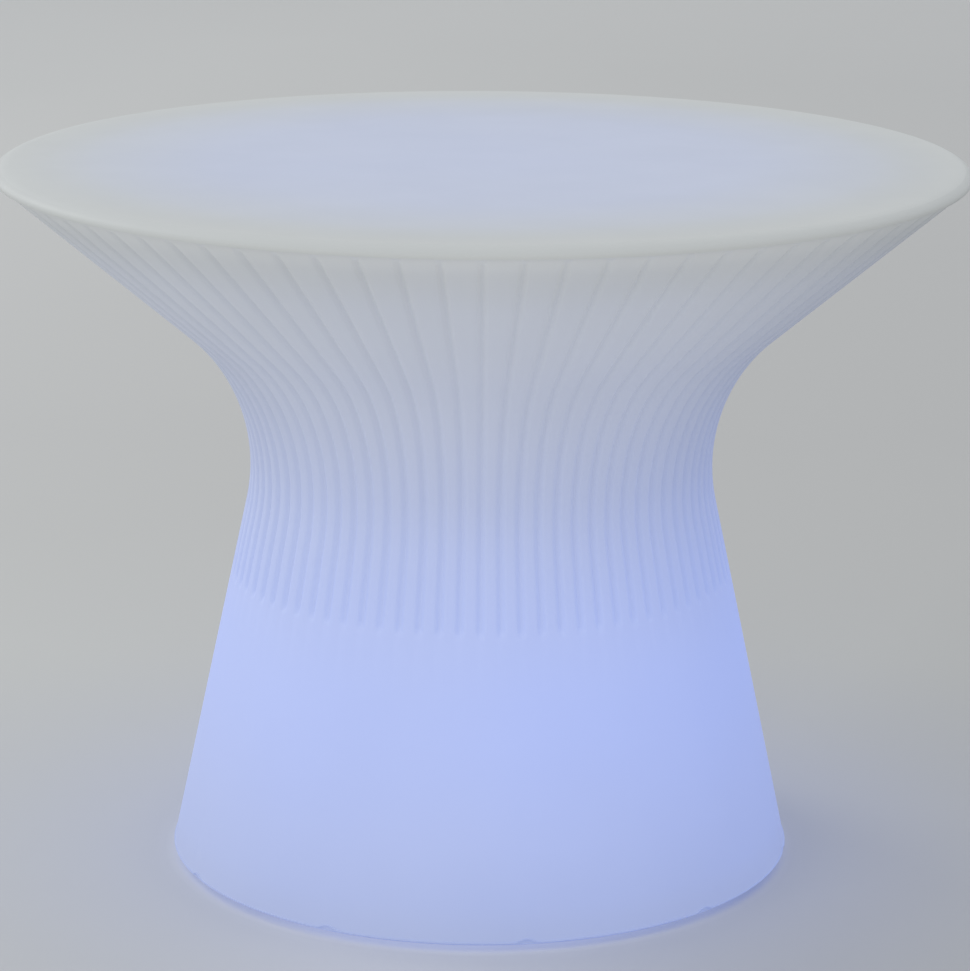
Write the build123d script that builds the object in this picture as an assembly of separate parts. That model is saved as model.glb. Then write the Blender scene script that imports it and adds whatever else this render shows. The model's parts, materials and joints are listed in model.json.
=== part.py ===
from build123d import *
import math
import os

# A round side table that lights up from inside: one hollow moulded body in milky plastic, fluted along its
# sides, with a battery light unit screwed into its underside. Millimetres, +Z up, the floor at zero, the
# table's axis on Z and its front towards -Y.

# How far every cutter passes the face that it cuts
overrun = 2.0

# Gaps that the fits share
fixed_clearance = 0.1
pin_clearance = 0.06
sliding_clearance = 0.2
seat_gap = 0.2

# Moulded body: the outer skin
table_radius = 300.0
table_height = 445.0
body_wall = 4.5
rim_height = 9.0
rim_top_round = 5.0
rim_low_round = 2.5
crease_step = 3.0
flare_lean = 49.4
waist_bend_radius = 116.0
cone_lean = 12.25
base_radius = 196.5
parting_height = 6.0
underside_height = 3.0
edge_turn_in = 8.0
parting_bead = 0.6
cap_land = 1.0

# Flutes along the sides
flute_count = 80
flute_width = 5.0
flute_depth = 2.0
flute_run_on_cone = 44.3
flute_fade_length = 10.0
front_angle = -90.0

# Recess and opening in the underside, for the light unit
recess_radius = 101.0
recess_depth = 6.0
opening_radius = 84.0

# Feet
foot_count = 4
foot_first_angle = 45.0
foot_circle_radius = 168.0
foot_radius = 13.0
foot_stem_radius = 4.5
foot_stem_stand_out = 2.5

# Screws of the light unit, and the inserts that they turn into
unit_screw_count = 6
unit_screw_circle_radius = 92.5
unit_screw_radius = 2.0
unit_screw_length = 12.0
unit_screw_head_radius = 3.8
unit_screw_head_height = 2.4
insert_radius = 4.2
insert_length = 10.0
insert_boss_wall = 3.5
insert_boss_top = 2.5

# Cover of the light unit
flange_clearance = 1.0
gasket_thickness = 1.0
gasket_margin = 1.5
gasket_width = 3.5
cup_clearance = 2.5
cup_wall = 2.5
cup_floor = 3.0
cup_height = 63.0
screw_hole_clearance = 0.3
head_sink = 0.2

# Finger well in the cover's underside
well_radius = 40.0
well_depth = 26.0
well_wall = 2.5
well_roof = 3.0

# Power button, pressed upwards in a screwed-in bezel
button_offset = 18.0
button_radius = 5.1
button_travel = 1.5
button_proud = 1.6
button_shoulder_width = 1.2
button_shoulder_height = 1.5
button_stem_radius = 2.4
button_stem_length = 4.8
bezel_flange_radius = 9.0
bezel_flange_height = 1.8
bezel_lip_height = 2.3
bezel_wall = 1.4
bezel_length = 12.0
bezel_nut_height = 3.0
bezel_nut_width = 3.5
spring_mean_radius = 4.3
spring_wire_radius = 0.35
switch_height = 4.5
switch_tab_width = 2.0
switch_tab_depth = 0.6
switch_tab_length = 2.0
switch_tab_spacing = 5.0

# Charging socket and its cap
socket_offset = 18.0
socket_flange_radius = 7.5
socket_flange_height = 2.0
socket_body_radius = 6.0
socket_length = 12.0
socket_bore_radius = 2.9
socket_mouth_radius = 4.6
socket_mouth_depth = 2.0
socket_back = 3.0
socket_pin_radius = 1.0
socket_pin_recess = 3.0
socket_pin_tail = 2.0
socket_nut_height = 3.0
socket_nut_width = 3.0
cap_radius = 7.0
cap_thickness = 2.0
cap_nose_radius = 4.0
cap_nose_height = 1.4
cap_tab_length = 2.0
cap_tab_width = 6.0
cap_hinge_reach = 10.0
hinge_pin_radius = 1.0
knuckle_wall = 1.2
knuckle_length = 6.4
hinge_ear_width = 2.0
hinge_pin_stand_out = 0.2

# Charge light beside the button and the socket
lens_offset = 24.0
lens_radius = 2.5
lens_head_radius = 3.4
lens_head_height = 0.8
lens_stand_out = 2.0

# Rechargeable cells and their holders
cell_count = 3
cell_first_angle = 90.0
cell_circle_radius = 55.5
cell_radius = 9.2
cell_length = 65.0
cell_nub_radius = 2.8
cell_nub_length = 1.2
holder_floor = 1.5
holder_side = 1.8
holder_end = 1.6
holder_lip_height = 4.5
contact_thickness = 0.5
contact_width = 9.0

# Driver board on its pillars
pillar_spacing_x = 56.0
pillar_spacing_y = 44.0
pillar_radius = 3.0
pillar_height = 20.0
pillar_thread_radius = 1.5
board_radius = 54.0
board_thickness = 1.6
board_screw_length = 7.0
board_screw_head_radius = 2.8
board_screw_head_height = 1.6

# Light-emitting plate, its chips and the receiver
plate_thickness = 2.0
chip_size = 5.0
chip_height = 1.6
chip_ring_radii = (20.0, 38.0, 56.0)
chip_ring_counts = (4, 8, 12)
receiver_size = 7.0
receiver_height = 5.0

# Diffuser dome, its seal and its screws
seal_thickness = 1.0
seal_width = 4.0
seal_margin = 1.5
dome_flange_height = 3.0
dome_flange_width = 15.0
dome_height = 24.0
dome_wall = 2.0
dome_screw_count = 3
dome_screw_first_angle = 30.0
dome_screw_inset = 5.5
dome_screw_radius = 1.5
dome_screw_length = 16.0
dome_screw_head_radius = 2.8
dome_screw_head_height = 2.0
dome_boss_wall = 2.5
dome_boss_height = 26.0

# What the driver board carries, with its places on the board
controller_size = 12.0
controller_height = 2.0
controller_y = 30.0
inductor_size = 12.0
inductor_height = 7.0
inductor_x = -26.0
capacitor_radius = 4.0
capacitor_height = 9.0
capacitor_x = 40.0
capacitor_spacing = 12.0

# Flat leads, and the headers that they plug into
lead_thickness = 1.2
lead_bend_radius = 1.8
lead_width = 4.0
led_lead_width = 8.0
led_lead_start_x = 4.0
led_lead_end_x = 28.0
service_lead_reach = 12.0
header_size = 5.0
header_height = 4.0
contact_tab_height = 1.5
battery_lead_height = 38.0
battery_lead_reach = 25.5

# Where the rim's two bevels meet, as a share of the rounding that they stand for
rim_shoulder_share = 0.3

# Heights that follow from the sizes above
crease_height = table_height - rim_height
crease_radius = table_radius - crease_step
recess_ceiling = underside_height + recess_depth
flange_height = recess_depth - gasket_thickness
flange_radius = recess_radius - flange_clearance
flange_top = underside_height + flange_height
cup_radius = opening_radius - cup_clearance
cup_inner_radius = cup_radius - cup_wall
floor_top = underside_height + cup_floor
rim_top = underside_height + cup_height
roof_low = underside_height + well_depth
roof_top = roof_low + well_roof
bezel_bore_radius = button_radius + sliding_clearance + button_shoulder_width
bezel_tube_radius = bezel_bore_radius + bezel_wall
bezel_low = roof_low - bezel_flange_height
bezel_top = roof_low + bezel_length
shoulder_low = bezel_low + bezel_lip_height + seat_gap
shoulder_top = shoulder_low + button_shoulder_height
stem_top = shoulder_top + button_stem_length
switch_low = stem_top + button_travel + seat_gap
switch_top = switch_low + switch_height
socket_low = roof_low - socket_flange_height
socket_top = roof_low + socket_length
cap_top = socket_low - seat_gap
hinge_x = socket_offset + cap_hinge_reach
hinge_z = cap_top - cap_thickness / 2
knuckle_radius = hinge_pin_radius + knuckle_wall
cell_height = floor_top + holder_floor + cell_radius + fixed_clearance
contact_top = cell_height + cell_radius + contact_tab_height
board_low = roof_top + pillar_height
board_top = board_low + board_thickness
plate_top = rim_top + plate_thickness
seal_top = plate_top + seal_thickness
dome_flange_top = seal_top + dome_flange_height
dome_screw_circle_radius = cup_radius - dome_screw_inset
contact_reach = cell_length / 2 + cell_nub_length + contact_thickness / 2
header_low = board_low - header_height


def face_of(points, radii=None):
    """A closed flat face through points, with its corners rounded where radii are given."""
    if radii is None:
        return make_face(Polyline(*points, close=True))
    return make_face(FilletPolyline(*points, radius=radii, close=True))


def turned(section):
    """The solid that a section of radii and heights makes round the table's axis."""
    return revolve(Plane.XZ * section, Axis.Z)


def disc(radius, low, high):
    """A round disc or rod on the axis between two heights."""
    return Pos(0, 0, low) * Cylinder(radius, high - low, align=(Align.CENTER, Align.CENTER, Align.MIN))


def ring(outer_radius, inner_radius, low, high):
    """A flat ring or tube on the axis between two heights."""
    return disc(outer_radius, low, high) - disc(inner_radius, low - overrun, high + overrun)


def block(size_x, size_y, low, high):
    """A rectangular block centred on the axis between two heights."""
    return Pos(0, 0, low) * Box(size_x, size_y, high - low, align=(Align.CENTER, Align.CENTER, Align.MIN))


def hexagon(radius, low, high):
    """A hexagonal bar on the axis between two heights, given by its corner radius."""
    return Pos(0, 0, low) * extrude(RegularPolygon(radius, 6), high - low)


def around(piece, radius, count, first_angle=0.0):
    """Copies of a piece on a circle round the axis, each turned to face outwards."""
    step = 360.0 / count
    return [Rot(Z=first_angle + step * turn) * Pos(radius, 0, 0) * piece for turn in range(count)]


def screw(shank_radius, length, head_radius, head_height):
    """A screw with its head's underside at height zero and its shank pointing down."""
    return disc(shank_radius, -length, 0) + disc(head_radius, 0, head_height)


def neck_corner(inset):
    """Where the lines of the cone and the flare cross inside the waist's bend, inset from the skin."""
    cone_slope = math.tan(math.radians(cone_lean))
    flare_slope = math.tan(math.radians(flare_lean))
    cone_run = cone_radius_at(parting_height) - across_cone(inset) + cone_slope * parting_height
    flare_run = crease_radius - across_flare(inset) - flare_slope * crease_height
    height = (cone_run - flare_run) / (cone_slope + flare_slope)
    return cone_run - cone_slope * height, height


def cone_radius_at(height):
    """Outer radius of the straight lower cone at a height."""
    return base_radius - math.tan(math.radians(cone_lean)) * (height - parting_height)


def across_cone(depth):
    """A depth square to the lower cone, measured along the radius."""
    return depth / math.cos(math.radians(cone_lean))


def across_flare(depth):
    """A depth square to the flare, measured along the radius."""
    return depth / math.cos(math.radians(flare_lean))


def side_region(inset):
    """Half section of what lies inside the side wall, from the parting line to the crease under the rim."""
    return face_of(
        [
            (0, parting_height),
            (base_radius - across_cone(inset), parting_height),
            neck_corner(inset),
            (crease_radius - across_flare(inset), crease_height),
            (0, crease_height),
        ],
        [0, 0, waist_bend_radius + inset, 0, 0],
    )


def flute_low_height():
    """Where the flutes end on the straight cone, below the waist's bend."""
    tangent = waist_bend_radius * math.tan(math.radians((cone_lean + flare_lean) / 2))
    bend_low_height = neck_corner(0)[1] - tangent * math.cos(math.radians(cone_lean))
    return bend_low_height - flute_run_on_cone


def flute_cutter():
    """A V-shaped bar along one meridian that cuts one flute, ramped out at its lower end."""
    above_crease = (crease_radius + math.tan(math.radians(flare_lean)) * overrun, crease_height + overrun)
    low = flute_low_height()
    below_end = (cone_radius_at(low - overrun), low - overrun)
    meridian = Plane.XZ * FilletPolyline(below_end, neck_corner(0), above_crease, radius=waist_bend_radius)
    across = Plane(origin=meridian @ 0, x_dir=(0, 1, 0), z_dir=meridian % 0)
    half_mouth = flute_width / 2 * (flute_depth + overrun) / flute_depth
    notch = face_of([(0, flute_depth), (half_mouth, -overrun), (-half_mouth, -overrun)])
    ramp_top = low + flute_fade_length
    ramp_inner = Vector(cone_radius_at(ramp_top) - across_cone(flute_depth), ramp_top)
    ramp_outer = Vector(cone_radius_at(low), low)
    ramp_end = ramp_outer + (ramp_outer - ramp_inner).normalized() * overrun
    window = face_of(
        [
            (0, crease_height),
            (0, ramp_top),
            (ramp_inner.X, ramp_inner.Y),
            (ramp_end.X, ramp_end.Y),
            (table_radius + overrun, ramp_end.Y),
            (table_radius + overrun, crease_height),
        ]
    )
    return sweep(across * notch, meridian) & extrude(Plane.XZ * window, flute_width, both=True)


def wall_sector():
    """One pitch of the side wall, from the middle of a rib over its flute to the middle of the next rib."""
    half_angle = math.radians(180.0 / flute_count)
    reach = table_radius + overrun
    band = side_region(0) - side_region(body_wall)
    plate = extrude(Plane.XZ * band, reach * math.tan(half_angle), both=True)
    corner = reach * math.tan(half_angle)
    wedge = Pos(0, 0, parting_height) * extrude(
        make_face(Polyline((0, 0), (reach, -corner), (reach, corner), close=True)),
        crease_height - parting_height,
    )
    return (plate - flute_cutter()) & wedge


def top_cap():
    """The flat top with its bevelled bullnose rim, down to the crease."""
    inner_radius = crease_radius - across_flare(body_wall) - cap_land
    shoulder = rim_top_round * rim_shoulder_share
    return turned(
        face_of(
            [
                (0, table_height),
                (table_radius - rim_top_round, table_height),
                (table_radius - shoulder, table_height - shoulder),
                (table_radius, table_height - rim_top_round),
                (table_radius, crease_height + rim_low_round),
                (table_radius - rim_low_round, crease_height),
                (inner_radius, crease_height),
                (inner_radius, table_height - body_wall),
                (0, table_height - body_wall),
            ]
        )
    )


def base_pan():
    """The underside: parting bead, turned-in edge, recess and the opening for the light unit."""
    floor_edge = base_radius - body_wall / 2
    return turned(
        face_of(
            [
                (opening_radius, recess_ceiling),
                (recess_radius, recess_ceiling),
                (recess_radius, underside_height),
                (base_radius - edge_turn_in, underside_height),
                (base_radius + parting_bead, parting_height - parting_bead),
                (base_radius + parting_bead, parting_height),
                (floor_edge, parting_height),
                (floor_edge, underside_height + body_wall),
                (recess_radius + body_wall, underside_height + body_wall),
                (recess_radius + body_wall, recess_ceiling + body_wall),
                (opening_radius, recess_ceiling + body_wall),
            ]
        )
    )


def insert_boss():
    """The thick place in the recess's ceiling round one threaded insert."""
    boss_top = recess_ceiling + insert_length + insert_boss_top
    return disc(insert_radius + insert_boss_wall, recess_ceiling, boss_top)


def body_shell():
    """The hollow body: top, fluted sides and underside in one moulding, with holes for inserts and feet."""
    sector = wall_sector()
    sectors = [Rot(Z=front_angle + 360.0 * turn / flute_count) * sector for turn in range(flute_count)]
    bosses = around(insert_boss(), unit_screw_circle_radius, unit_screw_count)
    shell = top_cap() + [base_pan(), *bosses, *sectors]
    insert_room = insert_radius + fixed_clearance
    insert_hole = hexagon(insert_room, recess_ceiling - overrun, recess_ceiling + insert_length)
    foot_hole = disc(foot_stem_radius + fixed_clearance, underside_height - overrun, recess_ceiling)
    shell -= around(insert_hole, unit_screw_circle_radius, unit_screw_count)
    shell -= around(foot_hole, foot_circle_radius, foot_count, foot_first_angle)
    return shell


def rubber_feet():
    """Push-in feet: a pad under the body, and a stem up through the wall."""
    pad = disc(foot_radius, 0, underside_height)
    stem = disc(foot_stem_radius, underside_height, underside_height + body_wall + foot_stem_stand_out)
    return around(pad + stem, foot_circle_radius, foot_count, foot_first_angle)


def unit_inserts():
    """Hexagon brass inserts with a thread, flush with the recess's ceiling."""
    bore = unit_screw_radius + fixed_clearance
    insert = hexagon(insert_radius, recess_ceiling, recess_ceiling + insert_length)
    insert -= disc(bore, recess_ceiling - overrun, recess_ceiling + insert_length + overrun)
    return around(insert, unit_screw_circle_radius, unit_screw_count)


def unit_gasket():
    """The sealing ring between the cover's flange and the recess, inside the circle of screws."""
    inner_radius = opening_radius + gasket_margin
    return ring(inner_radius + gasket_width, inner_radius, flange_top, recess_ceiling)


def dome_boss():
    """A screw boss on the inside of the cup's wall, under the dome's flange."""
    return disc(dome_screw_radius + dome_boss_wall, rim_top - dome_boss_height, rim_top)


def roof_holes():
    """The holes in the well's roof for the bezel, the charging socket and the charge light."""
    holes = []
    for x, y, radius in (
        (-button_offset, 0, bezel_tube_radius + sliding_clearance),
        (socket_offset, 0, socket_body_radius + sliding_clearance),
        (0, lens_offset, lens_radius + fixed_clearance),
    ):
        holes.append(Pos(x, y, 0) * disc(radius, roof_low - overrun, roof_top + overrun))
    return holes


def unit_cover():
    """The light unit's housing: flange, cup and finger well in one moulding."""
    well_outer_radius = well_radius + well_wall
    cover = turned(
        face_of(
            [
                (0, roof_low),
                (well_radius, roof_low),
                (well_radius, underside_height),
                (flange_radius, underside_height),
                (flange_radius, flange_top),
                (cup_radius, flange_top),
                (cup_radius, rim_top),
                (cup_inner_radius, rim_top),
                (cup_inner_radius, floor_top),
                (well_outer_radius, floor_top),
                (well_outer_radius, roof_top),
                (0, roof_top),
            ]
        )
    )
    bosses = around(dome_boss(), dome_screw_circle_radius, dome_screw_count, dome_screw_first_angle)
    inside_cup = disc(cup_radius - cup_wall / 2, underside_height, rim_top)
    cover += [boss & inside_cup for boss in bosses]
    shank_hole_radius = unit_screw_radius + screw_hole_clearance
    screw_hole = disc(shank_hole_radius, underside_height - overrun, flange_top + overrun)
    head_hole = disc(
        unit_screw_head_radius + screw_hole_clearance,
        underside_height - overrun,
        underside_height + unit_screw_head_height + head_sink,
    )
    cover -= around(screw_hole + head_hole, unit_screw_circle_radius, unit_screw_count)
    thread_hole = disc(dome_screw_radius + fixed_clearance, rim_top - dome_screw_length, rim_top + overrun)
    cover -= around(thread_hole, dome_screw_circle_radius, dome_screw_count, dome_screw_first_angle)
    return cover - roof_holes()


def cover_screws():
    """The screws that hold the light unit up in the body, heads down."""
    seat = underside_height + unit_screw_head_height + head_sink
    piece = screw(unit_screw_radius, unit_screw_length, unit_screw_head_radius, unit_screw_head_height)
    return around(Pos(0, 0, seat) * Rot(X=180) * piece, unit_screw_circle_radius, unit_screw_count)


def button_bezel():
    """The bezel: a flange under the well's roof, and a tube through it with a lip that keeps the button."""
    bezel = turned(
        face_of(
            [
                (button_radius + sliding_clearance, bezel_low),
                (bezel_flange_radius, bezel_low),
                (bezel_flange_radius, roof_low),
                (bezel_tube_radius, roof_low),
                (bezel_tube_radius, bezel_top),
                (bezel_bore_radius, bezel_top),
                (bezel_bore_radius, bezel_low + bezel_lip_height),
                (button_radius + sliding_clearance, bezel_low + bezel_lip_height),
            ]
        )
    )
    return Pos(-button_offset, 0, 0) * bezel


def button_nut():
    """The hexagon nut that clamps the bezel from above the roof."""
    nut_top = roof_top + bezel_nut_height
    nut = hexagon(bezel_tube_radius + bezel_nut_width, roof_top, nut_top)
    nut -= disc(bezel_tube_radius + fixed_clearance, roof_top - overrun, nut_top + overrun)
    return Pos(-button_offset, 0, 0) * nut


def power_button():
    """The button: a round face below, a shoulder that the lip keeps, and the stem that works the switch."""
    button = turned(
        face_of(
            [
                (0, bezel_low - button_proud),
                (button_radius, bezel_low - button_proud),
                (button_radius, shoulder_low),
                (button_radius + button_shoulder_width, shoulder_low),
                (button_radius + button_shoulder_width, shoulder_top),
                (button_stem_radius, shoulder_top),
                (button_stem_radius, stem_top),
                (0, stem_top),
            ]
        )
    )
    return Pos(-button_offset, 0, 0) * button


def button_spring():
    """The return spring's space between the button's shoulder and the switch."""
    outer_radius = spring_mean_radius + spring_wire_radius
    inner_radius = spring_mean_radius - spring_wire_radius
    return Pos(-button_offset, 0, 0) * ring(outer_radius, inner_radius, shoulder_top, switch_low)


def button_switch():
    """The switch that closes the bezel's tube, with two solder tabs."""
    body = disc(bezel_bore_radius - fixed_clearance, switch_low, switch_top)
    tab = block(switch_tab_depth, switch_tab_width, switch_top, switch_top + switch_tab_length)
    for side in (-1, 1):
        body += Pos(0, side * switch_tab_spacing / 2, 0) * tab
    return Pos(-button_offset, 0, 0) * body


def charge_socket():
    """The charging socket: flange, threaded body and bore, with two ears that carry the cap's hinge pin."""
    socket = disc(socket_flange_radius, socket_low, roof_low)
    socket += disc(socket_body_radius, socket_low, socket_top)
    ear_far = knuckle_length / 2 + sliding_clearance + hinge_ear_width
    ear_middle = ear_far - hinge_ear_width / 2
    ear_reach = cap_hinge_reach + knuckle_radius
    for side in (-1, 1):
        arm = block(ear_reach, hinge_ear_width, socket_low, roof_low)
        socket += Pos(ear_reach / 2, side * ear_middle, 0) * arm
        ear = block(2 * knuckle_radius, hinge_ear_width, hinge_z, roof_low)
        ear += Pos(0, 0, hinge_z) * Rot(X=90) * Cylinder(knuckle_radius, hinge_ear_width)
        socket += Pos(cap_hinge_reach, side * ear_middle, 0) * ear
    bore_top = socket_top - socket_back
    socket -= disc(socket_bore_radius, socket_low - overrun, bore_top)
    socket -= disc(socket_mouth_radius, socket_low - overrun, socket_low + socket_mouth_depth)
    socket -= disc(socket_pin_radius + fixed_clearance, bore_top - overrun, socket_top + overrun)
    pin_hole = Cylinder(hinge_pin_radius + pin_clearance, 2 * ear_far + overrun)
    hinge_hole = Pos(cap_hinge_reach, 0, hinge_z) * Rot(X=90) * pin_hole
    return Pos(socket_offset, 0, 0) * (socket - hinge_hole)


def socket_pin():
    """The contact pin in the middle of the charging socket, with its tail behind."""
    pin = disc(socket_pin_radius, socket_low + socket_pin_recess, socket_top + socket_pin_tail)
    return Pos(socket_offset, 0, 0) * pin


def socket_nut():
    """The hexagon nut that clamps the charging socket from above the roof."""
    nut_top = roof_top + socket_nut_height
    nut = hexagon(socket_body_radius + socket_nut_width, roof_top, nut_top)
    nut -= disc(socket_body_radius + fixed_clearance, roof_top - overrun, nut_top + overrun)
    return Pos(socket_offset, 0, 0) * nut


def socket_cap():
    """The cap that swings down from the charging socket: plate, nose, finger tab and hinge knuckle."""
    cap_low = cap_top - cap_thickness
    cap = disc(cap_radius, cap_low, cap_top)
    cap += disc(cap_nose_radius, cap_top, cap_top + cap_nose_height)
    tab = block(cap_radius + cap_tab_length, cap_tab_width, cap_low, cap_top)
    cap += Pos(-(cap_radius + cap_tab_length) / 2, 0, 0) * tab
    strap = block(cap_hinge_reach, knuckle_length, cap_low, cap_top)
    cap += Pos(cap_hinge_reach / 2, 0, 0) * strap
    knuckle_place = Pos(cap_hinge_reach, 0, hinge_z) * Rot(X=90)
    cap += knuckle_place * Cylinder(knuckle_radius, knuckle_length)
    cap -= knuckle_place * Cylinder(hinge_pin_radius + pin_clearance, knuckle_length + overrun)
    return Pos(socket_offset, 0, 0) * cap


def cap_hinge_pin():
    """The steel pin through the ears and the cap's knuckle."""
    length = knuckle_length + 2 * (sliding_clearance + hinge_ear_width + hinge_pin_stand_out)
    return Pos(hinge_x, 0, hinge_z) * Rot(X=90) * Cylinder(hinge_pin_radius, length)


def status_lens():
    """The clear rod that shows the charge light in the well's roof."""
    lens = disc(lens_head_radius, roof_low - lens_head_height, roof_low)
    lens += disc(lens_radius, roof_low, roof_top + lens_stand_out)
    return Pos(0, lens_offset, 0) * lens


def lying(piece, height):
    """A piece modelled upright on the axis, laid along Y in a cell's place before it is turned round."""
    return Pos(0, 0, height) * Rot(X=90) * piece


def battery_cells():
    """The rechargeable cells, lying round the well."""
    cell = Cylinder(cell_radius, cell_length)
    nub_place = Pos(0, 0, (cell_length + cell_nub_length) / 2)
    cell += nub_place * Cylinder(cell_nub_radius, cell_nub_length)
    return around(lying(cell, cell_height), cell_circle_radius, cell_count, cell_first_angle)


def holder_half_length():
    """Half the length of a cell's holder, from its contacts and end walls."""
    return cell_length / 2 + cell_nub_length + contact_thickness + holder_end


def battery_holders():
    """Open troughs with end walls that the cells snap into, glued to the cover's floor."""
    half_length = holder_half_length()
    half_width = cell_radius + fixed_clearance + holder_side
    holder = block(2 * half_width, 2 * half_length, floor_top, cell_height + holder_lip_height)
    trough = lying(Cylinder(cell_radius + fixed_clearance, 2 * (half_length - holder_end)), cell_height)
    holder -= trough
    end_room_length = half_length - holder_end - cell_length / 2
    end_room_width = contact_width + sliding_clearance
    end_room = block(end_room_width, end_room_length, floor_top + holder_floor, cell_height + cell_radius)
    for side in (-1, 1):
        holder -= Pos(0, side * (cell_length + end_room_length) / 2, 0) * end_room
    return around(holder, cell_circle_radius, cell_count, cell_first_angle)


def battery_contacts():
    """Contact plates inside the end walls of each holder."""
    plate_low = floor_top + holder_floor
    plate = block(contact_width, contact_thickness, plate_low, contact_top)
    contacts = []
    for side in (-1, 1):
        placed = Pos(0, side * contact_reach, 0) * plate
        contacts += around(placed, cell_circle_radius, cell_count, cell_first_angle)
    return contacts


def pillar_places():
    """The four places of the driver board's pillars and screws."""
    return GridLocations(pillar_spacing_x, pillar_spacing_y, 2, 2)


def board_pillars():
    """Hexagon brass pillars on the well's roof."""
    pillar = hexagon(pillar_radius, roof_top, board_low)
    hole_low = board_low - board_screw_length + board_thickness - overrun
    pillar -= disc(pillar_thread_radius + fixed_clearance, hole_low, board_low + overrun)
    return [place * pillar for place in pillar_places()]


def driver_board():
    """The eight-sided circuit board that charges the cells and drives the lights."""
    board = Pos(0, 0, board_low) * extrude(RegularPolygon(board_radius, 8), board_thickness)
    hole = disc(pillar_thread_radius + screw_hole_clearance, board_low - overrun, board_top + overrun)
    return board - [place * hole for place in pillar_places()]


def board_screws():
    """The screws that hold the driver board on its pillars."""
    piece = screw(pillar_thread_radius, board_screw_length, board_screw_head_radius, board_screw_head_height)
    return [place * Pos(0, 0, board_top) * piece for place in pillar_places()]


def led_plate():
    """The aluminium plate on the cup's rim that carries and cools the lights."""
    plate = disc(cup_radius, rim_top, plate_top)
    hole = disc(dome_screw_radius + screw_hole_clearance, rim_top - overrun, plate_top + overrun)
    return plate - around(hole, dome_screw_circle_radius, dome_screw_count, dome_screw_first_angle)


def led_chips():
    """The light-emitting chips, in three rings on the plate."""
    chip = block(chip_size, chip_size, plate_top, plate_top + chip_height)
    chips = []
    for radius, count in zip(chip_ring_radii, chip_ring_counts):
        chips += around(chip, radius, count)
    return chips


def remote_receiver():
    """The receiver for a remote control, in the middle of the plate."""
    return block(receiver_size, receiver_size, plate_top, plate_top + receiver_height)


def dome_seal():
    """The sealing ring between the plate and the diffuser's flange, inside the circle of screws."""
    outer_radius = dome_screw_circle_radius - dome_screw_radius - seal_margin
    return ring(outer_radius, outer_radius - seal_width, plate_top, seal_top)


def diffuser_dome():
    """The opal cover over the lights: a flange and a drum with a flat top, hollow below."""
    drum_radius = cup_radius - dome_flange_width
    dome = disc(cup_radius, seal_top, dome_flange_top) + disc(drum_radius, seal_top, seal_top + dome_height)
    dome -= disc(drum_radius - dome_wall, seal_top - overrun, seal_top + dome_height - dome_wall)
    hole = disc(dome_screw_radius + screw_hole_clearance, seal_top - overrun, dome_flange_top + overrun)
    return dome - around(hole, dome_screw_circle_radius, dome_screw_count, dome_screw_first_angle)


def dome_screws():
    """The screws through the dome's flange, seal and plate into the cup's bosses."""
    piece = screw(dome_screw_radius, dome_screw_length, dome_screw_head_radius, dome_screw_head_height)
    placed = Pos(0, 0, dome_flange_top) * piece
    return around(placed, dome_screw_circle_radius, dome_screw_count, dome_screw_first_angle)


def board_parts():
    """The larger parts on top of the driver board: controller, inductor and two capacitors."""
    controller = block(controller_size, controller_size, board_top, board_top + controller_height)
    inductor = block(inductor_size, inductor_size, board_top, board_top + inductor_height)
    capacitor = disc(capacitor_radius, board_top, board_top + capacitor_height)
    parts = [Pos(0, controller_y, 0) * controller, Pos(inductor_x, 0, 0) * inductor]
    parts += [Pos(capacitor_x, side * capacitor_spacing / 2, 0) * capacitor for side in (-1, 1)]
    return parts


def lead(points, width):
    """A flat lead of one width along a path in the plane of X and Z, with equal bends."""
    path = FilletPolyline(*points, radius=lead_bend_radius)
    return extrude(Plane.XZ * trace(path, lead_thickness), width / 2, both=True)


def stepped(start, end):
    """Points of a lead that rises, crosses over half way up and rises again."""
    middle = (start[1] + end[1]) / 2
    return [start, (start[0], middle), (end[0], middle), end]


def led_lead():
    """The flat lead from the driver board up to the underside of the light plate."""
    start = (led_lead_start_x, board_top + header_height)
    end = (led_lead_end_x, rim_top - header_height)
    return lead(stepped(start, end), led_lead_width)


def socket_lead():
    """The lead from the charging socket's tail to the driver board."""
    start = (socket_offset, socket_top + socket_pin_tail)
    end = (socket_offset + service_lead_reach, header_low)
    return lead(stepped(start, end), lead_width)


def switch_lead():
    """The lead from the switch's tabs to the driver board."""
    start = (-button_offset, switch_top + switch_tab_length)
    end = (-button_offset - service_lead_reach, header_low)
    return lead(stepped(start, end), switch_tab_spacing + switch_tab_width)


def battery_leads():
    """One twin lead from each holder's contact tab, up and in over the well to the driver board."""
    points = [
        (0, contact_top),
        (0, battery_lead_height),
        (-battery_lead_reach, battery_lead_height),
        (-battery_lead_reach, header_low),
    ]
    piece = Pos(0, contact_reach, 0) * lead(points, lead_width)
    return around(piece, cell_circle_radius, cell_count, cell_first_angle)


def lead_headers():
    """The headers on the board and under the light plate that the leads plug into."""
    below_board = block(header_size, header_size, header_low, board_low)
    wide_below_board = block(header_size, switch_tab_spacing + switch_tab_width, header_low, board_low)
    above_board = block(header_size, led_lead_width, board_top, board_top + header_height)
    below_plate = block(header_size, led_lead_width, rim_top - header_height, rim_top)
    headers = [
        Pos(socket_offset + service_lead_reach, 0, 0) * below_board,
        Pos(-button_offset - service_lead_reach, 0, 0) * wide_below_board,
        Pos(led_lead_start_x, 0, 0) * above_board,
        Pos(led_lead_end_x, 0, 0) * below_plate,
    ]
    battery_header = Pos(-battery_lead_reach, contact_reach, 0) * below_board
    return headers + around(battery_header, cell_circle_radius, cell_count, cell_first_angle)


def write(name, pieces):
    """Writes one node's solids to its own file."""
    shape = Compound(children=[Part() + piece for piece in pieces]) if isinstance(pieces, list) else pieces
    export_step(shape, f"parts/{name}.step")


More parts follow.
